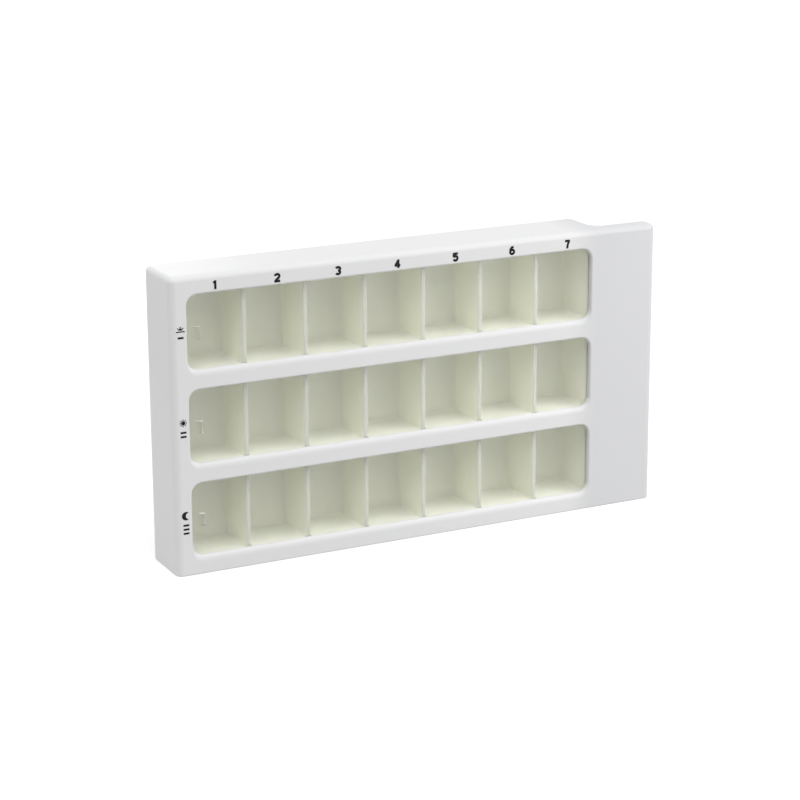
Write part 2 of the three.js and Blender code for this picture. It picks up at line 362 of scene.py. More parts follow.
tray_low, tray_high = box_mm("morning_tray")
tray_front = tray_low.y
tray_back = tray_high.y
flange_left = tray_low.x
flange_right = tray_high.x
flange_back = tray_front + flange_thickness
rail_back = flange_back + run_gap
root_left = inside_left - root_depth
root_right = inside_right + root_depth
root_front = plate_back - root_depth


def partitions():
    """The walls between the rows: deep behind the cells, and shallow inside the grip."""
    deep_right = body_right - partition_setback
    steps = []
    for upper, lower in zip(row_names, row_names[1:]):
        middle = (row_middles[upper] + row_middles[lower]) / 2
        z0 = middle - partition_wall / 2
        z1 = middle + partition_wall / 2
        steps.append(join(block(root_left, deep_right, root_front, cover_inside - run_gap, z0, z1)))
        steps.append(join(block(window_right, root_right, root_front, grip_inside - run_gap, z0, z1)))
    return steps


def rails():
    """The steps above the top channel and below the bottom one."""
    top_rail = row_middles["morning"] + channel_half
    bottom_rail = row_middles["evening"] - channel_half
    return [
        join(block(root_left, root_right, root_front, rail_back, top_rail, inside_top + root_depth)),
        join(block(root_left, root_right, root_front, rail_back, inside_bottom - root_depth, bottom_rail)),
    ]


def lugs():
    """Small stops beside the upper and the lower corners of each flange."""
    lug_left = flange_right + run_gap
    lug_right = lug_left + lug_length
    steps = []
    for middle in row_middles.values():
        for side in (-1, 1):
            tip = middle + side * (channel_half - lug_reach)
            root = middle + side * (channel_half + root_depth)
            z0, z1 = sorted((tip, root))
            steps.append(join(block(root_left, flange_left - run_gap, tray_front, rail_back, z0, z1)))
            steps.append(join(block(lug_left, lug_right, tray_front, rail_back, z0, z1)))
    return steps


print("trays from", round(tray_front, 2), "to", round(tray_back, 2), "mm deep")

# %% [markdown]
# ## Windows, slots and pockets
#
# Each window goes through the plate with its front edge rolled over. Its sill rolls the furthest, where
# fingers tip the tablets out. The end of the grip has a slot beside each window, which lets the lid
# out, and pockets in the walls take the cover's hooks and its tongue. A window could be cut straight
# and bevelled afterwards. A flared cutter rolls its edge in one step and lets the sill differ from the
# rest.

# %% Windows and slots
window_radius = 4.2
window_roll = 1.5
side_roll_share = 0.6
sill_roll_share = 1.7


def window_cutter(middle):
    """What a window takes out of the front plate, with its edge rolled over."""
    half = window_height / 2

    def outline(inset):
        """The window, whose sill rolls over further than its other edges."""
        sill = middle - half + inset * (sill_roll_share - side_roll_share)
        flare = inset * side_roll_share
        return rounded_rectangle(window_left, window_right, sill, middle + half, window_radius, flare)

    pairs = [(-window_roll, face - overrun)] + rim(face, plate_back + run_gap, -window_roll)
    return front_skin("window", outline, pairs)


def windows():
    """A window and a lid's slot for each row."""
    steps = []
    for middle in row_middles.values():
        z0 = middle - channel_half
        z1 = middle + channel_half
        steps.append(cut(window_cutter(middle)))
        steps.append(cut(block(inside_right - overrun, right + overrun, plate_back, tray_front, z0, z1)))
    return steps


print("windows:", round(window_right - window_left, 1), "by", window_height, "mm")

# %% Pockets
hook_count = 3
hook_width = 8
hook_reach = 6
hook_barb = 0.8
hook_barb_length = 2
tongue_reach = 1
tongue_thickness = 1
tongue_setback = 1.2
hook_tip = cover_inside - hook_reach
barb_back = hook_tip + hook_barb_length
tongue_back = grip_back - tongue_setback
tongue_inset = housing_wall + edge_round


def hook_middle(n):
    """The middle of one of the rear cover's hooks, counted from the left from zero."""
    return inside_left + (body_right - cover_wall - inside_left) / hook_count * (n + 0.5)


def hook_pockets():
    """Pockets in the lower and the upper wall, where the barbs of the hooks catch."""
    depth = hook_barb + run_gap
    y0 = hook_tip - run_gap
    y1 = barb_back + run_gap
    steps = []
    for n in range(hook_count):
        x0 = hook_middle(n) - hook_width / 2 - run_gap
        x1 = x0 + hook_width + 2 * run_gap
        steps.append(cut(block(x0, x1, y0, y1, inside_bottom - depth, inside_bottom + root_depth)))
        steps.append(cut(block(x0, x1, y0, y1, inside_top - root_depth, inside_top + depth)))
    return steps


def tongue_pocket():
    """The long pocket at the end of the grip."""
    return cut(block(
        inside_right - root_depth, inside_right + tongue_reach,
        tongue_back - tongue_thickness - run_gap, tongue_back + run_gap,
        tongue_inset - run_gap, height - tongue_inset + run_gap,
    ))


# %% Housing
opening_round = 0.2
slot_round = 0.1
same_place = 0.01


def on_opening(x, y, z):
    """True on the rim that the rear cover's edge lies in."""
    at_side = min(abs(x - inside_left), abs(x - inside_right), abs(z - inside_bottom), abs(z - inside_top))
    behind = y > cover_inside or x > body_right - shoulder_radius and y > grip_inside
    return at_side < same_place and behind


def on_slot(x, y, z):
    """True on the mouth of a slot that a lid runs out through."""
    return x > right - front_corner and plate_back - same_place < y < tray_front + same_place


ribs = partitions() + rails() + lugs()
openings = windows() + hook_pockets() + [tongue_pocket()]
shape(housing, [hollow] + ribs + openings)
break_edges(housing, opening_round, on_opening)
break_edges(housing, slot_round, on_slot)
smooth(housing)
print("housing faces:", len(housing.data.polygons))

# %% [markdown]
# ## The cell trays
#
# Each tray is one thin ivory moulding: a shell with a flange round its mouth, and seven cells let into
# it. A cell's cutter does four jobs. It flares at the mouth, so the dividers have rounded front edges.
# It has small round corners. It grows a little towards the mouth, so the dividers are thinner there and
# the tray slips off its mould. And it rounds in at the far end, where tablets would otherwise stick.
# Walls could be set up one by one, but cells cut out of one shell leave them joined, as a moulding's
# are.

# %% Cells
tray_wall = 1.2
cell_corner = 1
cell_floor_round = 0.9
mouth_roll = 0.45
divider_taper = 0.15
cell_back = tray_back - tray_wall


def cell_cutter(cell, middle):
    """One cell's space, flared at its mouth and rounded at its back."""
    x0 = cell_middle(cell) - cell_width / 2
    x1 = x0 + cell_width
    half = cell_height / 2

    def outline(inset, depth):
        """The cell at a depth. The outer walls of the first and the last cell have no taper."""
        taper = divider_taper * min((cell_back - depth) / (cell_back - tray_front), 1)
        near = x0 if cell == 0 else x0 - taper
        far = x1 if cell == cell_count - 1 else x1 + taper
        return rounded_rectangle(near, far, middle - half, middle + half, cell_corner, inset, small_steps)

    pairs = [(-mouth_roll, tray_front - overrun)]
    pairs += rim(tray_front, cell_back, -mouth_roll, cell_floor_round, small_steps)
    return loft("cell", [[(x, depth, z) for x, z in outline(inset, depth)] for inset, depth in pairs])


print("cell:", cell_width, "by", round(cell_height, 1), "by", round(cell_back - tray_front, 1), "mm")

# %% Trays
flange_corner = 1.2
shell_round = 1
shell_corner = cell_corner + tray_wall
shell_left = window_left - window_lap - tray_wall
shell_right = window_right + window_lap + tray_wall
shell_half = cell_height / 2 + tray_wall


def make_tray(row_name):
    """The tray of one row."""
    middle = row_middles[row_name]
    low, high = box_mm(row_name + "_tray")

    def shell(inset):
        """The box round the cells."""
        low_z = middle - shell_half
        high_z = middle + shell_half
        return rounded_rectangle(shell_left, shell_right, low_z, high_z, shell_corner, inset)

    def flange(inset):
        """The flange round their mouths."""
        sides = (flange_left, flange_right, low.z, high.z)
        return rounded_rectangle(*sides, flange_corner, inset, corner_steps)

    tray = front_skin(row_name + "_cells", shell, rim(tray_front, tray_back, 0, shell_round))
    steps = [join(front_skin("flange", flange, rim(tray_front, flange_back)))]
    steps += [cut(cell_cutter(cell, middle)) for cell in range(cell_count)]
    return smooth(shape(tray, steps))


trays = {row_name: make_tray(row_name) for row_name in row_names}
print("tray faces:", len(trays["noon"].data.polygons))

# %% [markdown]
# ## The sliding lids
#
# A lid is a clear sheet less than a millimetre thick. It runs from the left end of its window right
# through the grip. A small clear nib near its left end is all a finger needs to push it along. The nib
# is a wedge that climbs to the right. Sheet and nib could be two pieces, but light would bend again
# where they meet, so they are joined into one skin. It is shaded flat right up to its rims, because
# normals that lean bend the light too, and darken the sheet's ends.

# %% Lids
nib_inset = 2.5
nib_width = 2.75
nib_height = 4.8
nib_drop = 0.3
nib_recess = 0.5
nib_tip_round = 0.35
nib_end_round = 0.12
wedge_turn = 2.7
sheet_corner = 1.2
sheet_round = 0.15


def make_lid(row_name):
    """The clear lid of one row, with its nib."""
    middle = row_middles[row_name]
    low, high = box_mm(row_name + "_lid")
    nib_left = window_left + nib_inset
    nib_right = nib_left + nib_width
    nib_middle = middle - nib_drop
    sheet_back = high.y
    sheet_front = plate_back + run_gap

    def sheet(inset):
        """The whole sheet from the front."""
        return rounded_rectangle(low.x, high.x, low.z, high.z, sheet_corner, inset, small_steps)

    def nib(inset):
        """The nib from above: its slope meets its round tip at an angle in quarter turns."""
        tip_x = nib_right - nib_tip_round
        tip_y = front + nib_recess + nib_tip_round
        root_y = sheet_front + root_depth
        foot = [(nib_left + inset, root_y), (nib_left + inset, sheet_front)]
        tip = arc(tip_x, tip_y, nib_tip_round - inset, wedge_turn, 4, small_steps)
        return foot + tip + [(nib_right - inset, root_y)]

    sheet_rims = rim(sheet_front, sheet_back, sheet_round, sheet_round, tiny_steps)
    lid = front_skin(row_name + "_clear_lid", sheet, sheet_rims)
    nib_low = nib_middle - nib_height / 2
    nib_ends = rim(nib_low, nib_low + nib_height, nib_end_round, nib_end_round, tiny_steps)
    shape(lid, [join(plan_skin("nib", nib, nib_ends))])
    return smooth(lid)


lids = {row_name: make_lid(row_name) for row_name in row_names}
print("lid faces:", len(lids["noon"].data.polygons))

# %% [markdown]
# ## The rear cover
#
# One bent sheet closes the back, goes round the shoulder and follows the grip. It carries pads that
# hold the trays, ribs that back the lids inside the grip, hooks that catch in the housing's pockets and
# a tongue at the end of the grip. A flat plate could be bent with a modifier. An outline from above is
# simpler, because it takes its bends from the housing's own.

# %% Bent sheet
cover_corner = 0.6
cover_rim = 0.25
cover_left = inside_left + run_gap
cover_right = inside_right - run_gap
cover_bottom = inside_bottom + run_gap
cover_top = inside_top - run_gap


def cover_outline(inset):
    """The bent sheet from above, drawn in by an inset."""
    shoulder_x = body_right - shoulder_radius
    shoulder_y = back - shoulder_radius
    sweep_x = body_right + sweep_radius
    sweep_y = grip_back + sweep_radius
    corner_round = cover_corner - inset
    return (
        [(cover_left + inset, cover_inside + inset)]
        + arc(shoulder_x, shoulder_y, shoulder_radius - cover_wall + inset, 1, 0, bend_steps)
        + arc(sweep_x, sweep_y, sweep_radius + cover_wall - inset, 2, 3, bend_steps)
        + [(cover_right - inset, grip_inside + inset)]
        + arc(cover_right - cover_corner, grip_back - cover_corner, corner_round, 0, 1, corner_steps)
        + arc(sweep_x, sweep_y, sweep_radius + inset, 3, 2, bend_steps)
        + arc(shoulder_x, shoulder_y, shoulder_radius - inset, 0, 1, bend_steps)
        + arc(cover_left + cover_corner, back - cover_corner, corner_round, 1, 2, corner_steps)
    )


cover_rims = rim(cover_bottom, cover_top, cover_rim, cover_rim, tiny_steps)
cover = plan_skin("back_cover", cover_outline, cover_rims)
print("cover sheet:", round(cover_right - cover_left, 1), "by", round(cover_top - cover_bottom, 1), "mm")

# %% What the cover carries
pad_width = 14
pad_height = 6
backing_rib = 1.6
hook_arm = 1.2
carrier_front = cover_inside + root_depth


def pads():
    """Pads behind the first, the middle and the last cell of each row."""
    steps = []
    for middle in row_middles.values():
        for cell in (0, (cell_count - 1) / 2, cell_count - 1):
            x = cell_middle(cell)
            steps.append(join(block(
                x - pad_width / 2, x + pad_width / 2, tray_back + run_gap, carrier_front,
                middle - pad_height / 2, middle + pad_height / 2,
            )))
    return steps


def backing_ribs():
    """Two ribs in each channel of the grip, which back the lid."""
    steps = []
    for middle in row_middles.values():
        for side in (-1, 1):
            z = middle + side * window_height / 2
            steps.append(join(block(
                body_right + sweep_radius, cover_right - root_depth, tray_front, grip_inside + root_depth,
                z - backing_rib / 2, z + backing_rib / 2,
            )))
    return steps


def hook_outline(up):
    """A hook from the side, its barb pointing up (1) at the top wall or down (-1) at the bottom wall."""
    outer = cover_top if up > 0 else cover_bottom
    inner = outer - up * hook_arm
    rise = run_gap + hook_barb
    peak = outer + up * rise
    return [
        (carrier_front, inner), (hook_tip, inner), (hook_tip, outer),
        (barb_back - rise, peak), (barb_back, peak), (barb_back, outer), (carrier_front, outer),
    ]


def hooks():
    """Hooks along the top and the bottom wall."""
    steps = []
    for n in range(hook_count):
        x0 = hook_middle(n) - hook_width / 2
        for up in (1, -1):
            hook = side_skin("hook", lambda inset: hook_outline(up), [(0, x0), (0, x0 + hook_width)])
            steps.append(join(hook))
    return steps


def tongue():
    """The tongue at the end of the grip."""
    return join(block(
        cover_right - root_depth, inside_right + tongue_reach - run_gap,
        tongue_back - tongue_thickness, tongue_back, tongue_inset, height - tongue_inset,
    ))


# %% Rear cover
smooth(shape(cover, pads() + backing_ribs() + hooks() + [tongue()]))
print("cover faces:", len(cover.data.polygons))

# %% [markdown]
# ## Printed numbers and marks
#
# The columns carry plain numbers. The rows carry a rising sun, a full sun and a moon, over one, two and
# three short bars that count the times of day. Pad printing lies on the plastic as a film of ink, so
# these are thin raised shapes and not a picture. The numbers could be text objects in some font. Here
# they are drawn as a pen would, plain and all alike: each stroke is a line given a width, and the
# strokes are joined.

# %% Strokes
number_height = 3.6
number_width = 2.7
stroke_width = 0.94
mitre_limit = 0.3
ink_root = 0.15
top_bar_low = row_middles["morning"] + window_height / 2 + window_roll * side_roll_share
top_bar_middle = (top_bar_low + height - edge_round) / 2


def ink_film(name, outlines):
    """A film of ink in the shape of closed outlines seen from the front."""
    skin = bmesh.new()
    for outline in outlines:
        add_skin(skin, [[(x, depth, z) for x, z in outline] for depth in (front, face + ink_root)])
    return new_piece(name, skin)


def stroke(points, width):
    """The outline of a line with a width, its corners mitred."""
    path = [Vector(point) for point in points]
    ways = [(b - a).normalized() for a, b in zip(path, path[1:])]
    one_side = []
    other_side = []
    for i, point in enumerate(path):
        before = ways[max(i - 1, 0)]
        after = ways[min(i, len(ways) - 1)]
        middle_way = (before + after).normalized()
        across = Vector((-middle_way.y, middle_way.x))
        reach = width / 2 / max(across.dot(Vector((-after.y, after.x))), mitre_limit)
        one_side.append(tuple(point + across * reach))
        other_side.append(tuple(point - across * reach))
    return one_side + other_side[::-1]


print("stroke:", stroke_width, "mm wide")

# %% Numbers
oval_steps = 14


def pen(lines, centre_x, centre_z):
    """Strokes of a number, drawn in a frame from -1 to 1 each way, set in their place in millimetres."""
    half_width = (number_width - stroke_width) / 2
    half_height = (number_height - stroke_width) / 2
    placed = []
    for line in lines:
        points = [(centre_x + x * half_width, centre_z + z * half_height) for x, z in line]
        placed.append(stroke(points, stroke_width))
    return placed


def bowl(centre_z, radius_z, start, end):
    """Part of an oval as wide as a number, between two angles in quarter turns."""
    return [(x, centre_z + z * radius_z) for x, z in arc(0, 0, 1, start, end, oval_steps)]


stroke_shares = [
    [[(-0.62, 0.5), (0.12, 1.0)], [(0.2, 1.25), (0.2, -1.25)]],
    [bowl(0.42, 0.58, 1.9, -0.45) + [(-1.0, -1.0)], [(-1.3, -1.0), (1.35, -1.0)]],
    [bowl(0.5, 0.5, 1.75, -1.0), bowl(-0.5, 0.5, 1.0, -1.75)],
    [[(0.45, -1.25), (0.45, 1.25)], [(0.45, 1.0), (-1.0, -0.42)], [(-1.35, -0.45), (1.4, -0.45)]],
    [
        [(1.2, 1.0), (-0.85, 1.0)], [(-0.8, 1.25), (-0.85, 0.0)],
        [(-0.85, 0.05)] + bowl(-0.36, 0.64, 1.45, -1.75),
    ],
    [
        bowl(-0.4, 0.6, 0, 2), bowl(-0.4, 0.6, 2, 4),
        [(-1.0, -0.4), (-0.8, 0.45), (-0.2, 0.95), (0.75, 1.0)],
    ],
    [[(-1.3, 1.0), (1.1, 1.0)], [(0.95, 1.1), (0.2, 0.1), (-0.2, -1.25)]],
]


def printed_number(cell):
    """The number over a column."""
    outlines = pen(stroke_shares[cell], cell_middle(cell), top_bar_middle)
    number = ink_film(f"column_number_{cell + 1}", outlines[:1])
    return shape(number, [join(ink_film("stroke", [outline])) for outline in outlines[1:]])


numbers = [printed_number(cell) for cell in range(cell_count)]
print("numbers:", len(numbers))

# %% Suns and moon
mark_inset = 3.9
mark_centre = left + mark_inset
sun_radius = 0.82
ray_inner = 0.98
ray_outer = 1.45
ray_width = 0.42
ray_count = 8
horizon_width = 3.4
horizon_drop = 0.55
moon_radius = 1.65
moon_bite = 1.15
moon_tip = 0.55
low_ray_turn = 0.4
half_sun_steps = 16
bite_steps = 24
moon_steps = 30


def rays(centre_z, turns):
    """Short bars that point away from a sun, at angles in quarter turns."""
    centre = Vector((mark_centre, centre_z))
    bars = []
    for turn in turns:
        angle = turn * math.pi / 2
        along = Vector((math.cos(angle), math.sin(angle)))
        bars.append(stroke([centre + along * ray_inner, centre + along * ray_outer], ray_width))
    return bars


def rising_sun(middle):
    """Half a sun with three rays, over a line."""
    base = middle - sun_radius
    line_z = base - horizon_drop
    reach = horizon_width / 2
    horizon = stroke([(mark_centre - reach, line_z), (mark_centre + reach, line_z)], ray_width)
    half_disc = arc(mark_centre, base, sun_radius, 0, 2, half_sun_steps)
    return [half_disc, horizon] + rays(base, (low_ray_turn, 1, 2 - low_ray_turn))


def full_sun(middle):
    """A whole sun with rays all round."""
    disc = arc(mark_centre, middle, sun_radius, 0, 4, 2 * half_sun_steps)[:-1]
    return [disc] + rays(middle, [n * 4 / ray_count for n in range(ray_count)])


def crescent(middle):
    """A moon: a disc's rim from tip to tip, in quarter turns, with a smaller arc bitten out of it."""
    rim_points = arc(mark_centre, middle, moon_radius, moon_tip, 4 - moon_tip, moon_steps)
    tip_x, tip_z = rim_points[0]
    bite_x = mark_centre + moon_bite
    bite_radius = math.hypot(tip_x - bite_x, tip_z - middle)
    start = math.atan2(tip_z - middle, tip_x - bite_x) / (math.pi / 2)
    bite = arc(bite_x, middle, bite_radius, 4 - start, start, bite_steps)[1:-1]
    return [rim_points + bite]


# %% Marks
mark_rise = 2.4
tally_drop = 1.3
tally_pitch = 1.6
tally_reach = 1.15
tally_width = 0.75


def tally(middle, count):
    """Short level bars, one under the other."""
    bars = []
    for n in range(count):
        z = middle - tally_drop - n * tally_pitch
        bars.append(stroke([(mark_centre - tally_reach, z), (mark_centre + tally_reach, z)], tally_width))
    return bars


marks = []
for count, (row_name, drawing) in enumerate(zip(row_names, (rising_sun, full_sun, crescent)), 1):
    middle = row_middles[row_name]
    outlines = drawing(middle + mark_rise) + tally(middle, count)
    marks.append(ink_film("row_mark_" + row_name, outlines))
print("marks:", len(marks))

# %% [markdown]
# ## Shared effects
#
# Five effects turn up in more than one material. Their nodes could be copied from one to the next, but
# as groups they are built once and take their own values in each place. Mould grain is the fine texture
# that the steel of the mould leaves. Rim highlight finds the edges and paints them a little brighter, a
# painted highlight. Handling film is the uneven sheen that fingers leave. Specks are the few dark dots of
# dust and scorched resin on any white moulding. Fade goes from none to all of an effect between two
# places, across the box or from its front to its back.

# %% Node helpers
def new_group(name, inputs, outputs):
    """An empty shader node group, from its inputs' names and usual values and its outputs' names."""
    group = bpy.data.node_groups.new(name, "ShaderNodeTree")
    for socket_name, value in inputs.items():
        socket = group.interface.new_socket(socket_name, in_out="INPUT", socket_type="NodeSocketFloat")
        socket.default_value = value
    for socket_name in outputs:
        group.interface.new_socket(socket_name, in_out="OUTPUT", socket_type="NodeSocketFloat")
    print("effect:", name, "gives", outputs)
    return group, group.nodes.new("NodeGroupInput"), group.nodes.new("NodeGroupOutput")


def add(tree, kind, settings=None, values=None):
    """A node with its settings and its sockets' values."""
    node = tree.nodes.new(kind)
    for key, value in (settings or {}).items():
        setattr(node, key, value)
    for key, value in (values or {}).items():
        node.inputs[key].default_value = value
    return node


# %% Mould grain
mould_grain, inward, outward = new_group(
    "mould_grain", {"Scale": 900.0, "Unevenness": 0.5}, ["Height", "Tone"],
)
link = mould_grain.links.new
place = add(mould_grain, "ShaderNodeTexCoord")
fine = add(mould_grain, "ShaderNodeTexNoise", {}, {"Detail": 3.0, "Roughness": 0.6})
broad = add(mould_grain, "ShaderNodeTexNoise", {}, {"Scale": 22.0, "Detail": 2.0, "Roughness": 0.5})
mix = add(mould_grain, "ShaderNodeMix", {"data_type": "FLOAT"})
link(place.outputs["Object"], fine.inputs["Vector"])
link(place.outputs["Object"], broad.inputs["Vector"])
link(inward.outputs["Scale"], fine.inputs["Scale"])
link(inward.outputs["Unevenness"], mix.inputs["Factor"])
link(fine.outputs["Fac"], mix.inputs["A"])
link(broad.outputs["Fac"], mix.inputs["B"])
link(fine.outputs["Fac"], outward.inputs["Height"])
link(mix.outputs["Result"], outward.inputs["Tone"])

# %% Rim highlight
rim_highlight, inward, outward = new_group("rim_highlight", {"Width": 0.0006}, ["Mask"])
link = rim_highlight.links.new
rounded = add(rim_highlight, "ShaderNodeBevel", {"samples": 4})
surface = add(rim_highlight, "ShaderNodeNewGeometry")
facing = add(rim_highlight, "ShaderNodeVectorMath", {"operation": "DOT_PRODUCT"})
mask = add(rim_highlight, "ShaderNodeMapRange", {}, {"From Min": 0.995, "From Max": 0.85})
link(inward.outputs["Width"], rounded.inputs["Radius"])
link(rounded.outputs["Normal"], facing.inputs[0])
link(surface.outputs["Normal"], facing.inputs[1])
link(facing.outputs["Value"], mask.inputs["Value"])
link(mask.outputs["Result"], outward.inputs["Mask"])

# %% Handling film
handling_film, inward, outward = new_group(
    "handling_film", {"Scale": 35.0, "Low": 0.3, "High": 0.4}, ["Roughness"],
)
link = handling_film.links.new
place = add(handling_film, "ShaderNodeTexCoord")
smear = add(handling_film, "ShaderNodeTexNoise", {}, {"Detail": 4.0, "Roughness": 0.55, "Distortion": 0.6})
spread = add(handling_film, "ShaderNodeMapRange", {}, {"From Min": 0.3, "From Max": 0.7})
link(place.outputs["Object"], smear.inputs["Vector"])
link(inward.outputs["Scale"], smear.inputs["Scale"])
link(smear.outputs["Fac"], spread.inputs["Value"])
link(inward.outputs["Low"], spread.inputs["To Min"])
link(inward.outputs["High"], spread.inputs["To Max"])
link(spread.outputs["Result"], outward.inputs["Roughness"])

# %% Specks
specks, inward, outward = new_group(
    "specks", {"Scale": 120.0, "Size": 0.03, "Rarity": 0.985}, ["Mask"],
)
link = specks.links.new
place = add(specks, "ShaderNodeTexCoord")
cells = add(specks, "ShaderNodeTexVoronoi")
near = add(specks, "ShaderNodeMath", {"operation": "LESS_THAN"})
pick = add(specks, "ShaderNodeMath", {"operation": "GREATER_THAN"})
split = add(specks, "ShaderNodeSeparateColor")
both = add(specks, "ShaderNodeMath", {"operation": "MULTIPLY"})
link(place.outputs["Object"], cells.inputs["Vector"])
link(inward.outputs["Scale"], cells.inputs["Scale"])
link(cells.outputs["Distance"], near.inputs[0])
link(inward.outputs["Size"], near.inputs[1])
link(cells.outputs["Color"], split.inputs["Color"])
link(split.outputs["Red"], pick.inputs[0])
link(inward.outputs["Rarity"], pick.inputs[1])
link(near.outputs["Value"], both.inputs[0])
link(pick.outputs["Value"], both.inputs[1])
link(both.outputs["Value"], outward.inputs["Mask"])

# %% Fade
fade, inward, outward = new_group("fade", {"Start": 0.0, "End": 0.01}, ["Across", "Deep"])
link = fade.links.new
place = add(fade, "ShaderNodeTexCoord")
split = add(fade, "ShaderNodeSeparateXYZ")
link(place.outputs["Object"], split.inputs["Vector"])
for axis, output in (("X", "Across"), ("Y", "Deep")):
    ramp = add(fade, "ShaderNodeMapRange", {"interpolation_type": "SMOOTHSTEP"})
    link(split.outputs[axis], ramp.inputs["Value"])
    link(inward.outputs["Start"], ramp.inputs["From Min"])
    link(inward.outputs["End"], ramp.inputs["From Max"])
    link(ramp.outputs["Result"], outward.inputs[output])

# %% [markdown]
# ## The plastics
#
# The housing and cover are white with a satin face. The trays are a creamier plastic that lets a little
# light into itself, so their cells look soft and evenly lit. All are built by one function from the
# shared effects, with other values. A tint comes last, and it is painted shade: the trays' mouths are
# painted a shade darker for the light that the clear lids take away, and the thin grip is painted a
# shade greyer than the deep body.

# %% Material helpers
def new_material(name):
    """A material with its node tree and its shader."""
    material = bpy.data.materials.new(name)
    material.use_nodes = True
    tree = material.node_tree
    return material, tree, tree.nodes["Principled BSDF"]


def effect(tree, group, values):
    """A shared effect placed in a material."""
    return add(tree, "ShaderNodeGroup", {"node_tree": group}, values)


def blend_colour(tree, factor, first, second, kind="MIX"):
    """A colour between two, each a plain colour or a node's output."""
    mix = add(tree, "ShaderNodeMix", {"data_type": "RGBA", "blend_type": kind})
    tree.links.new(factor, mix.inputs["Factor"])
    for key, colour in (("A", first), ("B", second)):
        socket = next(s for s in mix.inputs if s.name == key and s.type == "RGBA")
        if isinstance(colour, tuple):
            socket.default_value = colour + (1.0,)
        else:
            tree.links.new(colour, socket)
    return next(s for s in mix.outputs if s.type == "RGBA")


print("material helpers ready")

# %% Moulded plastics
speck_colour = (0.16, 0.15, 0.13)
rim_width = 0.7
grain_height = 0.02


def moulded_plastic(name, shade, light, rim_highlight_colour, grain, film, speck):
    """A satin moulded plastic from its two tones, its rims painted brighter as a highlight and its
    effects' values.
    """
    material, tree, shader = new_material(name)
    link = tree.links.new
    grain_node = effect(tree, mould_grain, grain)
    rim_node = effect(tree, rim_highlight, {"Width": rim_width * MM})
    film_node = effect(tree, handling_film, film)
    speck_node = effect(tree, specks, speck)
    tone = blend_colour(tree, grain_node.outputs["Tone"], shade, light)
    # Painted highlight: the rims are painted a little brighter.
    edged = blend_colour(tree, rim_node.outputs["Mask"], tone, rim_highlight_colour)
    dotted = blend_colour(tree, speck_node.outputs["Mask"], edged, speck_colour)
    link(dotted, shader.inputs["Base Color"])
    link(film_node.outputs["Roughness"], shader.inputs["Roughness"])
    bump = add(tree, "ShaderNodeBump", {}, {"Strength": 0.25, "Distance": grain_height * MM})
    link(grain_node.outputs["Height"], bump.inputs["Height"])
    link(bump.outputs["Normal"], shader.inputs["Normal"])
    return material


white_shell = moulded_plastic(
    "white_shell",
    shade=(0.785, 0.786, 0.79), light=(0.81, 0.811, 0.815), rim_highlight_colour=(0.815, 0.816, 0.818),
    grain={"Scale": 1400.0, "Unevenness": 0.6},
    film={"Scale": 30.0, "Low": 0.34, "High": 0.44},
    speck={"Scale": 90.0, "Size": 0.022, "Rarity": 0.95},
)
white_cover = moulded_plastic(
    "white_cover",
    shade=(0.77, 0.773, 0.78), light=(0.80, 0.802, 0.806), rim_highlight_colour=(0.83, 0.832, 0.835),
    grain={"Scale": 700.0, "Unevenness": 0.5},
    film={"Scale": 26.0, "Low": 0.42, "High": 0.52},
    speck={"Scale": 90.0, "Size": 0.028, "Rarity": 0.985},
)
ivory_tray = moulded_plastic(
    "ivory_tray",
    shade=(0.93, 0.935, 0.805), light=(0.95, 0.955, 0.825), rim_highlight_colour=(0.93, 0.935, 0.805),
    grain={"Scale": 1800.0, "Unevenness": 0.7},
    film={"Scale": 60.0, "Low": 0.32, "High": 0.42},
    speck={"Scale": 90.0, "Size": 0.02, "Rarity": 0.995},
)
print("plastics:", white_shell.name, white_cover.name, ivory_tray.name)

# %% Light inside the ivory
scatter_weight = 0.5
scatter_colour = (1.0, 0.98, 0.92)
scatter_reach = 1.8
ivory_shader = ivory_tray.node_tree.nodes["Principled BSDF"]
ivory_shader.inputs["Subsurface Weight"].default_value = scatter_weight
ivory_shader.inputs["Subsurface Radius"].default_value = scatter_colour
ivory_shader.inputs["Subsurface Scale"].default_value = scatter_reach * MM
print("light goes", scatter_reach, "mm into the ivory")

# %% Painted shade on the mouths and the grip
shaded_mouth_depth = 0.5
mouth_painted_shade = (0.7, 0.705, 0.725)
grip_painted_shade = (0.865, 0.867, 0.878)
fade_start = 18
fade_end = 2


def tint_where(material, output, start, end, tint):
    """Multiplies a material's colour by a tint, fading in between two places in millimetres."""
    tree = material.node_tree
    colour = tree.nodes["Principled BSDF"].inputs["Base Color"]
    untinted = colour.links[0].from_socket
    where = effect(tree, fade, {"Start": start * MM, "End": end * MM})
    tinted = blend_colour(tree, where.outputs[output], untinted, tint, "MULTIPLY")
    tree.links.new(tinted, colour)


# Painted shade: the mouths are darkened for the light lost through the clear lids.
tint_where(ivory_tray, "Deep", tray_front + shaded_mouth_depth, tray_front, mouth_painted_shade)
# Painted shade: the face turns a shade greyer from just before the grip to its end.
tint_where(white_shell, "Across", body_right - fade_start, body_right - fade_end, grip_painted_shade)
print("tints ready")
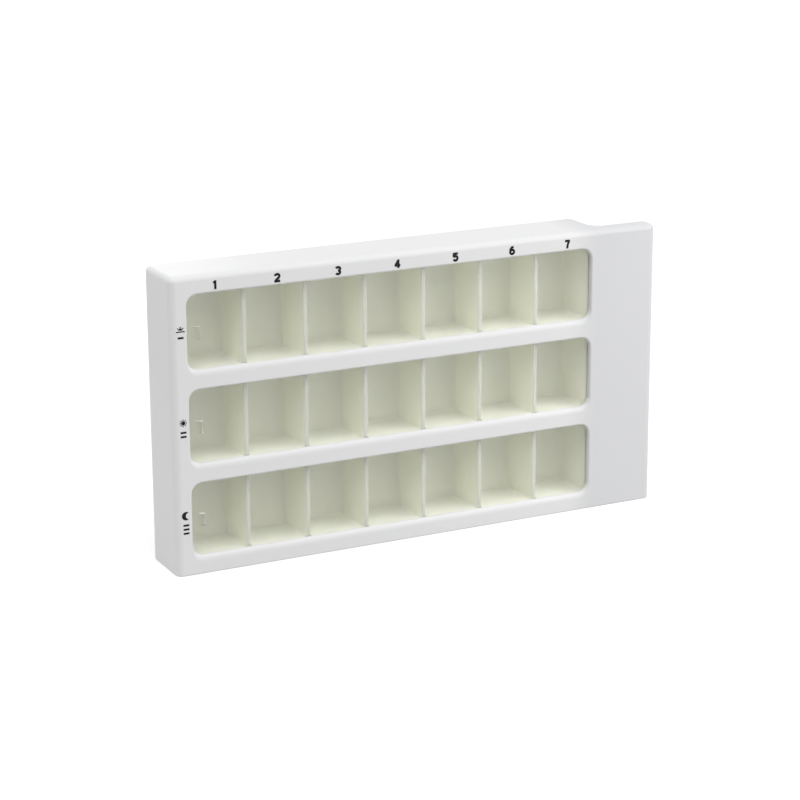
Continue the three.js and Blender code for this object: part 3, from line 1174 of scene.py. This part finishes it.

# %% [markdown]
# ## The clear lids and the ink
#
# Clear plastic is a Principled shader with full transmission. A shadow ray would stop at it and leave
# the cells dark, so for shadow rays alone the material is simply transparent. The top and right faces
# of a nib are milky, a painted highlight for their bright edges, and little else of a lid shows from
# the front. The ink is a matt black.

# %% Clear plastics
def clear_plastic(name, tint, clearness, film):
    """A clear plastic that lets the lamps' light through, from its tint and how clear it is."""
    material, tree, shader = new_material(name)
    link = tree.links.new
    shader.inputs["Base Color"].default_value = tint + (1.0,)
    shader.inputs["Transmission Weight"].default_value = clearness
    shader.inputs["IOR"].default_value = 1.45
    film_node = effect(tree, handling_film, film)
    link(film_node.outputs["Roughness"], shader.inputs["Roughness"])
    path = add(tree, "ShaderNodeLightPath")
    through = add(tree, "ShaderNodeBsdfTransparent", {}, {"Color": (1.0, 1.0, 1.0, 1.0)})
    choice = add(tree, "ShaderNodeMixShader")
    link(path.outputs["Is Shadow Ray"], choice.inputs["Fac"])
    link(shader.outputs["BSDF"], choice.inputs[1])
    link(through.outputs["BSDF"], choice.inputs[2])
    link(choice.outputs["Shader"], tree.nodes["Material Output"].inputs["Surface"])
    return material


clear_lid = clear_plastic(
    "clear_lid", tint=(0.985, 0.99, 0.99), clearness=1.0,
    film={"Scale": 45.0, "Low": 0.01, "High": 0.03},
)
# Painted highlight: a milky, nearly matt clear plastic that shows the nibs' bright top and right edges.
milky_nib_highlight = clear_plastic(
    "milky_nib_highlight", tint=(0.97, 0.97, 0.94), clearness=0.1,
    film={"Scale": 90.0, "Low": 0.3, "High": 0.45},
)
print("clear plastics:", clear_lid.name, milky_nib_highlight.name)

# %% Ink
ink_shade = (0.006, 0.006, 0.007)
ink_light = (0.018, 0.018, 0.02)
black_ink, tree, shader = new_material("black_ink")
grain_node = effect(tree, mould_grain, {"Scale": 2500.0, "Unevenness": 0.3})
tone = blend_colour(tree, grain_node.outputs["Tone"], ink_shade, ink_light)
tree.links.new(tone, shader.inputs["Base Color"])
shader.inputs["Specular IOR Level"].default_value = 0.15
film_node = effect(tree, handling_film, {"Scale": 200.0, "Low": 0.5, "High": 0.62})
tree.links.new(film_node.outputs["Roughness"], shader.inputs["Roughness"])
print("ink:", black_ink.name)

# %% [markdown]
# ## Putting the pieces on the frame
# Each piece rides on the body that carries it, so that a lid's mesh slides with its own joint. A piece
# that stands for a part of the frame hides that part. A lid gets a second, milky material for the faces
# at the top and the right of its nib, a painted highlight for their bright edges.

# %% Dress the frame
def dress(piece, material, body, node=None):
    """Gives a piece its finish, the body that carries it and the frame part it stands for."""
    piece.data.materials.clear()
    piece.data.materials.append(material)
    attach(piece, body)
    if node:
        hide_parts(node)


dress(housing, white_shell, "case", "housing")
dress(cover, white_cover, "case", "rear_cover")
for row_name in row_names:
    dress(trays[row_name], ivory_tray, "case", row_name + "_tray")
    dress(lids[row_name], clear_lid, row_name + "_shutter", row_name + "_lid")
for piece in numbers + marks:
    dress(piece, black_ink, "case")
print("pieces dressed:", 2 + len(trays) + len(lids) + len(numbers + marks))

# %% Milky faces of the nibs, a painted highlight
# Painted highlight: faces of a nib that face up or to the right take the milky plastic.
highlight_facing = 0.5
for lid in lids.values():
    lid.data.materials.append(milky_nib_highlight)
    for polygon in lid.data.polygons:
        on_nib = polygon.center.y / MM < plate_back
        if on_nib and max(polygon.normal.x, polygon.normal.z) > highlight_facing:
            polygon.material_index = 1
print("milky faces on a nib:", sum(polygon.material_index for polygon in lid.data.polygons))

# %% [markdown]
# ## Floor
#
# The floor is a wide pale plane that takes the box's shadow. Where the camera sees it, directly or
# through the clear lids, it glows up to a studio's white. The light that it throws on the box is that
# of a plain grey table. Brighter lamps could whiten it too, but they would burn the box out. A Light
# Path node tells the two kinds of light apart, and the sky uses the same few nodes.

# %% What the camera sees
def seen_by_camera(tree):
    """One for what the camera sees, also in glass or a gloss, and zero for light on matt surfaces."""
    link = tree.links.new
    path = add(tree, "ShaderNodeLightPath")
    direct = add(tree, "ShaderNodeMath", {"operation": "MAXIMUM"})
    seen = add(tree, "ShaderNodeMath", {"operation": "MAXIMUM"})
    unscattered = add(tree, "ShaderNodeMath", {"operation": "SUBTRACT", "use_clamp": True})
    link(path.outputs["Is Camera Ray"], direct.inputs[0])
    link(path.outputs["Is Glossy Ray"], direct.inputs[1])
    link(direct.outputs["Value"], seen.inputs[0])
    link(path.outputs["Is Transmission Ray"], seen.inputs[1])
    link(seen.outputs["Value"], unscattered.inputs[0])
    link(path.outputs["Diffuse Depth"], unscattered.inputs[1])
    return unscattered.outputs["Value"]


# %% Floor
floor_half = 6000
table_grey = (0.62, 0.62, 0.62)
studio_white = (0.8, 0.8, 0.8)
floor_glow = 0.32

floor_mesh = bpy.data.meshes.new("floor")
corners = [(x * floor_half * MM, y * floor_half * MM, 0) for x, y in ((-1, -1), (1, -1), (1, 1), (-1, 1))]
floor_mesh.from_pydata(corners, [], [(0, 1, 2, 3)])
floor = in_scene("floor", floor_mesh)

floor_finish, tree, shader = new_material("floor")
shader.inputs["Roughness"].default_value = 0.9
shader.inputs["Specular IOR Level"].default_value = 0.0
seen = seen_by_camera(tree)
tone = blend_colour(tree, seen, table_grey, studio_white)
tree.links.new(tone, shader.inputs["Base Color"])
glow = add(tree, "ShaderNodeMath", {"operation": "MULTIPLY"}, {1: floor_glow})
tree.links.new(seen, glow.inputs[0])
tree.links.new(glow.outputs["Value"], shader.inputs["Emission Strength"])
shader.inputs["Emission Color"].default_value = (1.0, 1.0, 1.0, 1.0)
floor.data.materials.append(floor_finish)
print("floor:", 2 * floor_half * MM, "m wide")

# %% [markdown]
# ## Light
#
# A white box needs soft light, or its faces burn out and its cells turn black. The sky gives most of
# it, and one wide sun, high at the front left, gives the cells their shading. Three weak round lamps
# stand near the box: one at the right front lifts the grip's end, one high beside the left end lifts
# the top there, and one low behind lights the back.

# %% Sky
sky_strength = 0.515
sky_seen = 1.0

sky = bpy.data.worlds.new("sky")
bpy.context.scene.world = sky
sky.use_nodes = True
tree = sky.node_tree
background = tree.nodes["Background"]
background.inputs["Color"].default_value = (1.0, 1.0, 1.0, 1.0)
strength = add(tree, "ShaderNodeMapRange", {}, {"To Min": sky_strength, "To Max": sky_seen})
tree.links.new(seen_by_camera(tree), strength.inputs["Value"])
tree.links.new(strength.outputs["Result"], background.inputs["Strength"])
print("sky strength:", sky_strength)

# %% Sun
sun_strength = 1.28
sun_width = math.radians(48)
sun_azimuth = 26
sun_elevation = 65


def towards(azimuth, elevation):
    """The way from the box to a lamp, its azimuth counted from the front towards the left."""
    across = math.radians(azimuth)
    above = math.radians(elevation)
    return Vector((
        -math.cos(above) * math.sin(across),
        -math.cos(above) * math.cos(across),
        math.sin(above),
    ))


def facing_box(way):
    """The turn of a lamp that shines at the box from a way."""
    return way.to_track_quat("Z", "Y").to_euler()


sun_light = bpy.data.lights.new("key", "SUN")
sun_light.energy = sun_strength
sun_light.angle = sun_width
in_scene("key", sun_light).rotation_euler = facing_box(towards(sun_azimuth, sun_elevation))
print("sun strength:", sun_strength)

# %% Round lamps
box_middle = Vector((0, 0, height / 2)) * MM
lamp_distance = 550
lamp_width = 300


def round_lamp(name, azimuth, elevation, power):
    """A round soft lamp near the box, which the camera doesn't see."""
    lamp = bpy.data.lights.new(name, "AREA")
    lamp.shape = "DISK"
    lamp.size = lamp_width * MM
    lamp.energy = power
    holder = in_scene(name, lamp)
    way = towards(azimuth, elevation)
    holder.location = box_middle + way * lamp_distance * MM
    holder.rotation_euler = facing_box(way)
    holder.visible_camera = False
    print(name, "power:", power, "W")


round_lamp("fill", azimuth=-50, elevation=20, power=0.83)
round_lamp("side_light", azimuth=110, elevation=60, power=0.22)
round_lamp("rear_light", azimuth=180, elevation=10, power=0.32)

# %% [markdown]
# ## Camera
#
# The camera stands at the front left and a little above the box, nearly a metre away with a long lens,
# so that the box is hardly drawn together towards its far end. Its place and angles were fitted to the
# corners of the box, its windows and its dividers. It has no lens shift, which every other view would
# keep.

# %% Camera
camera_yaw = math.radians(26.69)
camera_pitch = math.radians(15.83)
camera_roll = math.radians(-0.3)
camera_place = Vector((-411.7, -811, 310.3)) * MM
view_reach = 50000
picture_width = 800
focal_pixels = 2400
sensor_width = 36

forward = Vector((
    math.sin(camera_yaw) * math.cos(camera_pitch),
    math.cos(camera_yaw) * math.cos(camera_pitch),
    -math.sin(camera_pitch),
))
level = forward.cross(Vector((0, 0, 1))).normalized()
upright = level.cross(forward)
across = math.cos(camera_roll) * level + math.sin(camera_roll) * upright
up = math.cos(camera_roll) * upright - math.sin(camera_roll) * level
camera_data = bpy.data.cameras.new("camera")
camera_data.sensor_width = sensor_width
camera_data.lens = focal_pixels / picture_width * sensor_width
camera_data.clip_end = view_reach * MM
camera = in_scene("camera", camera_data)
turn = Matrix((across, up, -forward)).transposed().to_4x4()
camera.matrix_world = Matrix.Translation(camera_place) @ turn
bpy.context.scene.camera = camera
print("lens", round(camera_data.lens, 1), "mm")

# %% [markdown]
# ## Finish
#
# The last cell keeps the colours as they were written.

# %% Finish
bpy.context.scene.view_settings.view_transform = "Standard"
